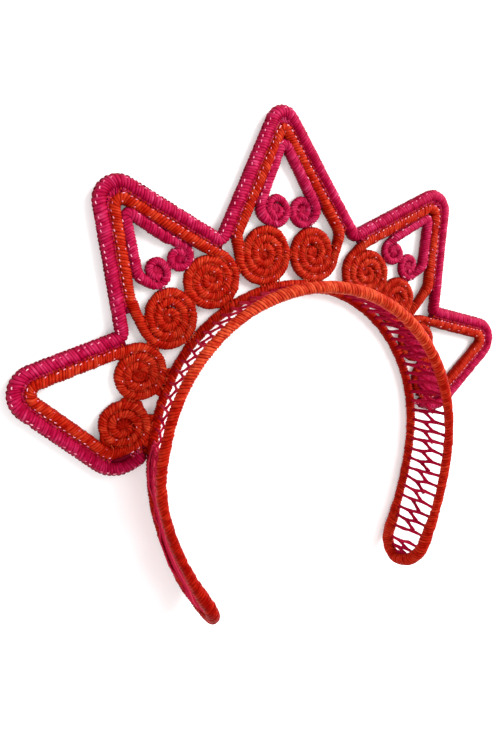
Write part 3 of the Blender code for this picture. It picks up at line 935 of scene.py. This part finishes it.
class Net:
    """The band's net: bare threads between the far edge and the near one."""

    def __init__(self, offset):
        self.far, self.near = (Route(line, RIM_RADIUS, left_of(line)) for line in band_edges(offset))
        self.rows = round(self.far.length / NET_ROW_PITCH)
        self.rng = np.random.default_rng(NET_SEED)
        self.strands = StrandMesh(THREAD_SIDES)

    def between(self, far_at, near_at, across):
        """A point between two places on the edges, some share of the way across the band."""
        a = self.far.read(self.far.points, far_at)
        b = self.near.read(self.near.points, near_at)
        return a + (b - a) * across

    def in_row(self, row, across):
        share = (row + 0.5) / self.rows
        return self.between(share * self.far.length, share * self.near.length, across)

    def in_leg_end(self, end, radius, depth, shift, share):
        """A point in a leg's round end: its row's depth, its shift in it and the share across the band."""
        far, near = self.far.points, self.near.points
        half = sqrt(radius ** 2 - depth ** 2) / LEG_END_RADIUS
        middle = (far[end] + near[end]) / 2 + leg_direction(far, near, end) * (depth + shift)
        return middle + (near[end] - far[end]) / 2 * half * (2 * share - 1)

    def thread(self, *points):
        """A thread that is thickest where it leaves the rim or another thread."""
        line = [points[0]]
        for first, second in zip(points, points[1:]):
            line += [first * 0.5 + second * 0.5, second]
        on_right = float(smooth_step(*THICKER_THREADS_X, line[-1][0]))
        size = THIN_THREAD_RADIUS + (NET_THREAD_RADIUS - THIN_THREAD_RADIUS) * on_right
        radii = np.array([size * (THREAD_WAIST if k % 2 else THREAD_KNOT) for k in range(len(line))])
        tone = self.rng.uniform(*THREAD_TONES) + THIN_THREAD_TONE * (1.0 - on_right)
        shade = self.rng.uniform(*THREAD_SHADES) + THIN_THREAD_SHADE * (1.0 - on_right)
        self.strands.add(line, radii, tone, shade)

    def add_rows(self):
        """Each row crosses from edge to edge, and a slanting thread ties it to the next row."""
        into_rim = RIM_RADIUS * NET_INTO_RIM / BAND_WIDTH
        shares = (into_rim, *NET_BENDS, 1 - into_rim)
        for row in range(self.rows):
            wobble = self.rng.normal(0.0, NET_WOBBLE, 6)
            line = [self.in_row(row + shift, share) for shift, share in zip(NET_SHIFTS + wobble[:4], shares)]
            self.thread(*line)
            if row < self.rows - 1:
                self.thread(line[1], self.in_row(row + 1 + NET_SHIFTS[2] + wobble[4], NET_BENDS[1]))

    def add_leg_end(self, end):
        """Rows across a leg's round end, each tied to the one before it."""
        radius = LEG_END_RADIUS - RIM_RADIUS * NET_END_INSET
        before = None
        for depth in NET_END_DEPTHS:
            places = zip(NET_END_SHIFTS, (0.0, *NET_BENDS, 1.0))
            line = [self.in_leg_end(end, radius, depth, shift, share) for shift, share in places]
            self.thread(*line)
            if before is not None:
                self.thread(before[1], line[2])
            before = line

    def add_lengthwise(self, share):
        """A long strand that starts in the left leg's round end and runs up the leg."""
        out = self.far.sideways[0] * (LONG_BULGE * (1.0 - share) + RIM_RADIUS * LONG_END_OUT)
        line = [self.in_leg_end(0, LEG_END_RADIUS, depth, 0.0, share) + out for depth in LONG_END_DEPTHS]
        around_rim = RIM_RADIUS + RIM_WINDING.swell + LONG_CLEAR
        for k in range(LONG_STEPS):
            at = LONG_PITCH * (k + self.rng.uniform(-LONG_SHIFT, LONG_SHIFT))
            here = share * (1.0 + self.rng.uniform(-1.0, 1.0) * LONG_WANDER)
            outside = sqrt(max(0.0, around_rim ** 2 - (BAND_WIDTH * here) ** 2))
            outside += LONG_BULGE * (1.0 - smooth_step(0.0, LONG_BULGE_END, at)) * (1.0 - share)
            outward = self.far.read(self.far.sideways, at) * outside
            sway = self.rng.uniform(-1.0, 1.0) * LONG_SWAY
            line.append(self.between(at, at, here) + outward + (0.0, 0.0, sway))
        self.strands.add(line, LONG_RADIUS, self.rng.uniform(*LONG_TONES), self.rng.uniform(*LONG_SHADES))


def make_net(offset):
    net = Net(offset)
    net.add_rows()
    for end in (0, -1):
        net.add_leg_end(end)
    for share in LONG_SHARES:
        net.add_lengthwise(share)
    return net.strands.make("net_threads")


def set_up(tree, node, values, **settings):
    """Gives a shader node its settings, and each input a value or a link from another node's socket."""
    for key, value in settings.items():
        setattr(node, key, value)
    for name, value in values.items():
        if isinstance(value, bpy.types.NodeSocket):
            tree.links.new(value, node.inputs[name])
        else:
            node.inputs[name].default_value = value
    return node.outputs


def straw_material(name, tones, sheen, roughness=STRAW_ROUGHNESS):
    """Dyed straw: a tone for each place, with painted shade in the grooves and fine fibres along the turn."""
    material = bpy.data.materials.new(name)
    material.use_nodes = True
    tree = material.node_tree

    def add(kind, values, **settings):
        return set_up(tree, tree.nodes.new("ShaderNode" + kind), values, **settings)

    tone, shade, place = (add("Attribute", {}, attribute_name=key) for key in ("tone", "shade", "place"))
    stretched = add("VectorMath", {0: place["Vector"], 1: FIBRE_SCALES}, operation="MULTIPLY")["Vector"]
    fibres = add("TexNoise", {"Vector": stretched, "Scale": 1.0, "Detail": FIBRE_DETAIL})["Fac"]
    spread = add("Math", {0: fibres, 1: FIBRE_TONE, 2: -FIBRE_TONE / 2}, operation="MULTIPLY_ADD")["Value"]
    mixed = add("Math", {0: tone["Fac"], 1: spread}, operation="ADD", use_clamp=True)["Value"]
    ramp = tree.nodes.new("ShaderNodeValToRGB")
    for place_on_ramp in MIDDLE_TONE_PLACES:
        ramp.color_ramp.elements.new(place_on_ramp)
    for element, colour in zip(ramp.color_ramp.elements, tones):
        element.color = (*colour, 1.0)
    straw = set_up(tree, ramp, {"Fac": mixed})["Color"]
    # The painted shade colour, which a place takes as its shade drops.
    painted_shade_colour = (*(PAINTED_SHADE_SHARE * np.array(tones[0])), 1.0)
    straw = add("Mix", {"A": painted_shade_colour, "B": straw, "Factor": shade["Fac"]}, data_type="RGBA")["Result"]
    bumps = add("Bump", {"Strength": FIBRE_BUMP, "Distance": FIBRE_HEIGHT, "Height": fibres})["Normal"]
    set_up(tree, tree.nodes["Principled BSDF"], {
        "Base Color": straw,
        "Normal": bumps,
        "Roughness": roughness,
        "Specular IOR Level": SHEEN_LEVEL,
        "Specular Tint": (*sheen, 1.0),
    })
    return material


def dress(piece, materials, colour, *nodes):
    """Gives a piece its material and slot, sets it in the frame and lets it stand for its nodes."""
    piece.data.materials.append(materials[colour])
    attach(piece, "root")
    if nodes:
        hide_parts(*nodes)


def make_stitches(outer, rim, scrolls, offset, materials):
    """The stitches along the cords and over the seams between them."""
    rng = np.random.default_rng(STITCH_SEED)
    tips = [on_ground(tip, offset) for tip in TIPS]
    large = {name: route for name, route in scrolls.items() if not name.startswith("inner")}
    inner_names = [name for name in scrolls if name.startswith("inner")]
    pairs = [(scrolls[name], scrolls[name.removeprefix("inner_")]) for name in inner_names]
    pale, dark, fuchsia, orange = (StrandMesh(STITCH_SIDES) for _ in range(4))
    stitch_row(pale, outer, EDGE_ROW, rng, stop_x=EDGE_ROW_STOP)
    stitch_row(dark, outer, CHAIN_ROW, rng)
    first = large["scroll_cord_1"]
    fill_seam(orange, first, first, TURN_FILL_REACH, rng)
    fill_seam(orange, first, rim, RIM_FILL_REACH, rng)
    for name, route in large.items():
        fill_seam(dark, route, outer, HEM_FILL_REACH, rng)
        ties(orange, route, outer, rng, tips, DARK_PAINTED_SHADE)
        ties(fuchsia, outer, route, rng, tips)
        ties(orange, route, route, rng, shade=DARK_PAINTED_SHADE)
        ties(orange, route, rim, rng)
        for other_name, other in large.items():
            if other_name > name:
                ties(orange, route, other, rng)
    for inner, around in pairs:
        ties(dark, inner, around, rng, tips)
        ties(fuchsia, inner, inner, rng, shade=DARK_PAINTED_SHADE)
    ties(fuchsia, outer, rim, rng)
    eye_knots(orange, (HEM_KNOT,), HEM_KNOT_REACH, offset, rng)
    for scrolls_here in SPIKES:
        for (left, right, *_), straw, reach in zip(scrolls_here, (orange, fuchsia), KNOT_REACHES):
            eye_knots(straw, (left, right), reach, offset, rng)
    for route in large.values():
        stitch_row(pale, route, SEAM_ROW, rng, outer)
        # Painted highlights on the large cords.
        stitch_row(pale, route, PAINTED_HIGHLIGHT_ROW, rng)
    for inner, around in pairs:
        stitch_row(pale, inner, INNER_SEAM_ROW, rng, around)
    cover_spirals(fuchsia, SPIKES[-1][0][:2], offset, rng)
    for colour, strands in (("pale", pale), ("dark", dark), ("fuchsia", fuchsia), ("orange", orange)):
        dress(strands.make(colour + "_stitches"), materials, colour)


def make_floor():
    mesh = bpy.data.meshes.new("floor")
    corners = [(x * FLOOR_HALF, y * FLOOR_HALF, 0.0) for x, y in ((-1, -1), (1, -1), (1, 1), (-1, 1))]
    mesh.from_pydata(corners, [], [(0, 1, 2, 3)])
    plane = add_object("floor", mesh)
    plane.location.z = -FLOOR_DROP
    material = bpy.data.materials.new("floor_white")
    material.use_nodes = True
    set_up(material.node_tree, material.node_tree.nodes["Principled BSDF"], FLOOR_LOOK)
    mesh.materials.append(material)


def make_camera(offset):
    camera = bpy.data.cameras.new("camera")
    camera.lens = CAMERA_LENS
    camera.clip_start = CAMERA_CLIP
    turn = Matrix.Identity(4)
    for axis, degrees in CAMERA_TURNS:
        turn = turn @ Matrix.Rotation(radians(degrees), 4, axis)
    thing = add_object("camera", camera)
    thing.matrix_world = Matrix.Translation(np.array(CAMERA_PLACE) + offset) @ turn
    bpy.context.scene.camera = thing


def make_lights():
    for name, place, size, power in LIGHTS:
        data = bpy.data.lights.new(name, "AREA")
        data.size = size
        data.energy = power
        thing = add_object(name, data)
        thing.location = place
        thing.rotation_euler = thing.location.normalized().to_track_quat("Z", "Y").to_euler()
    world = bpy.data.worlds.new("studio")
    world.use_nodes = True
    sky = {"Color": (1.0, 1.0, 1.0, 1.0), "Strength": SKY_STRENGTH}
    set_up(world.node_tree, world.node_tree.nodes["Background"], sky)
    bpy.context.scene.world = world
    bpy.context.scene.view_settings.view_transform = "Standard"


def main():
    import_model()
    offset = sheet_offset()
    materials = {
        "fuchsia": straw_material("fuchsia_straw_wound", FUCHSIA, FUCHSIA_SHEEN),
        "orange": straw_material("orange_straw_wound", ORANGE, ORANGE_SHEEN),
        "net": straw_material("net_straw", NET_FUCHSIA, FUCHSIA_SHEEN, NET_ROUGHNESS),
        "pale": straw_material("pale_fuchsia_straw", PALE_FUCHSIA, FUCHSIA_SHEEN),
        "dark": straw_material("dark_fuchsia_straw", DARK_FUCHSIA, FUCHSIA_SHEEN),
    }

    outer = zigzag_route(offset)
    rim = rim_route(offset)
    scrolls = scroll_routes(offset)
    wound = wound_cord("wound_zigzag_cord", outer, OUTER_WINDING, 1, INSIDE_PAINTED_SHADE)
    dress(wound, materials, "fuchsia", "zigzag_outer_cord")
    dress(wound_cord("wound_band_rim", rim, RIM_WINDING, 2), materials, "orange", "band_rim")
    for seed, (node, route) in enumerate(scrolls.items(), FIRST_SCROLL_SEED):
        inner = node.startswith("inner")
        wound = wound_cord("wound_" + node, route, INNER_WINDING if inner else SCROLL_WINDING, seed)
        dress(wound, materials, "fuchsia" if inner else "orange", node)
    dress(make_net(offset), materials, "net", "band_net")
    make_stitches(outer, rim, scrolls, offset, materials)

    make_floor()
    make_camera(offset)
    make_lights()


main()
